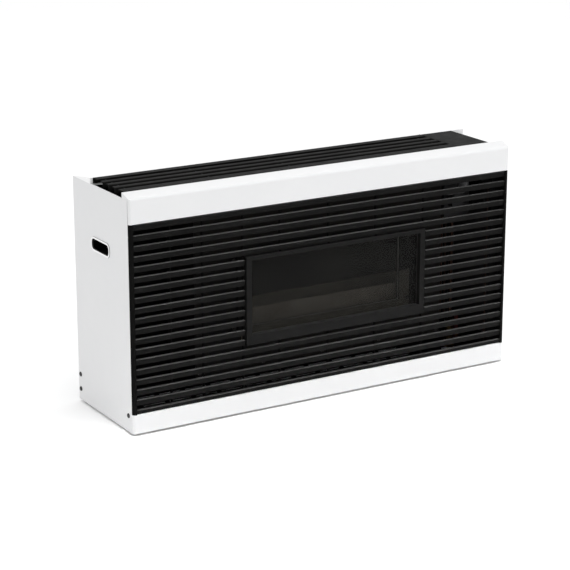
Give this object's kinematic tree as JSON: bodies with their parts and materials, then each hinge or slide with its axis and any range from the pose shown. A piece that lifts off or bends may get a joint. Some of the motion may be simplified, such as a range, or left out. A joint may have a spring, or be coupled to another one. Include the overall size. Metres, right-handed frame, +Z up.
{
  "type": "wall mounted gas heater",
  "caption": "Flat, wide wall heater with a white sheet casing, black louvred front round a dark window, slotted top grille with a control flap, and a rear flue.",
  "frame": {"origin": "centre of the wall fixing pattern, on the plane of the wall", "axes": "+X to the right seen from the front along the casing, +Y into the wall, +Z up; the front faces -Y"},
  "size_m": [0.7482, 0.24, 0.4],
  "materials": {
    "white_sheet": "satin powder coat",
    "black_sheet": "satin black enamel",
    "galvanised": "galvanised sheet",
    "box_steel": "heat-proof grey enamel",
    "shield_steel": "browned by heat",
    "door_glass": "dark tinted",
    "clear_glass": "clear heat-proof",
    "seal_fibre": "woven glass fibre",
    "black_seal": "matt",
    "screw_steel": "darkened zinc",
    "bright_steel": "bright",
    "black_plastic": "fine grained",
    "dial_sheet": "printed",
    "valve_alloy": "die cast",
    "brass": "turned",
    "copper": "copper coloured",
    "burner_steel": "aluminised",
    "insulator": "fired",
    "red_plastic": "moulded",
    "lead_rubber": "silicone",
    "body_plastic": "moulded"
  },
  "bodies": {
    "heater": {"left_side_panel": "white_sheet", "right_side_panel": "white_sheet", "hand_slot_lips": "white_sheet", "hand_slot_cups": "black_sheet", "top_fascia": "white_sheet", "bottom_band": "white_sheet", "rear_top_rail": "white_sheet", "back_panel": "galvanised", "base_tray": "galvanised", "corner_posts": "galvanised", "corner_stiles": "black_sheet", "grille_rails": "black_sheet", "grille_ribs": "black_sheet", "louvre_blades": "black_sheet", "window_frame": "black_sheet", "window_seal": "black_seal", "window_glass": "door_glass", "window_clips": "bright_steel", "top_grille": "black_sheet", "control_well": "black_sheet", "side_deck": "black_sheet", "flap_hinge_pin": "bright_steel", "dial_plate": "dial_sheet", "igniter_body": "body_plastic", "igniter_lead": "lead_rubber", "spark_electrode": "insulator", "gas_valve": "valve_alloy", "valve_bracket": "galvanised", "gas_cock": "brass", "supply_pipe": "copper", "burner_feed_pipe": "copper", "injector": "brass", "burner_bar": "burner_steel", "pilot_burner": "burner_steel", "pilot_pipe": "copper", "thermocouple": "copper", "thermostat_phial": "copper", "phial_clips": "bright_steel", "combustion_box": "box_steel", "box_gasket": "seal_fibre", "box_front_plate": "box_steel", "box_side_plate": "galvanised", "burner_shield": "shield_steel", "inner_glass": "clear_glass", "inner_glass_gasket": "seal_fibre", "inner_glass_frame": "box_steel", "box_brackets": "galvanised", "air_deflector": "galvanised", "air_intake_box": "galvanised", "flue_air_spigot": "galvanised", "flue_exhaust_duct": "burner_steel", "flue_gasket": "seal_fibre", "casing_screws": "screw_steel", "rail_screws": "bright_steel", "box_screws": "bright_steel"},
    "flap": {"control_flap": "black_sheet"},
    "driver": {"valve_driver": "brass"},
    "knob": {"control_knob": "black_plastic"},
    "igniter_button": {"igniter_button": "red_plastic"},
    "cock_lever": {"gas_cock_lever": "red_plastic"}
  },
  "joints": [
    {"name": "flap_hinge", "type": "hinge", "parent": "heater", "child": "flap", "pos_m": [0.31025, -0.0695, 0.2025], "axis": [-1, 0, 0], "range_deg": [0, 100]},
    {"name": "knob_turn", "type": "hinge", "parent": "heater", "child": "driver", "pos_m": [0.31025, -0.11, 0.163], "axis": [0, 0, 1], "range_deg": [0, 270]},
    {"name": "knob_push", "type": "slide", "parent": "driver", "child": "knob", "axis": [0, 0, -1], "range_m": [0, 0.004], "stiffness_N_per_m": 600, "springref_m": -0.004},
    {"name": "igniter_push", "type": "slide", "parent": "heater", "child": "igniter_button", "axis": [0, 0, -1], "range_m": [0, 0.005], "stiffness_N_per_m": 600, "springref_m": -0.003},
    {"name": "cock_turn", "type": "hinge", "parent": "heater", "child": "cock_lever", "pos_m": [0.32025, -0.11, -0.158], "axis": [0, 1, 0], "range_deg": [0, 90]}
  ]
}
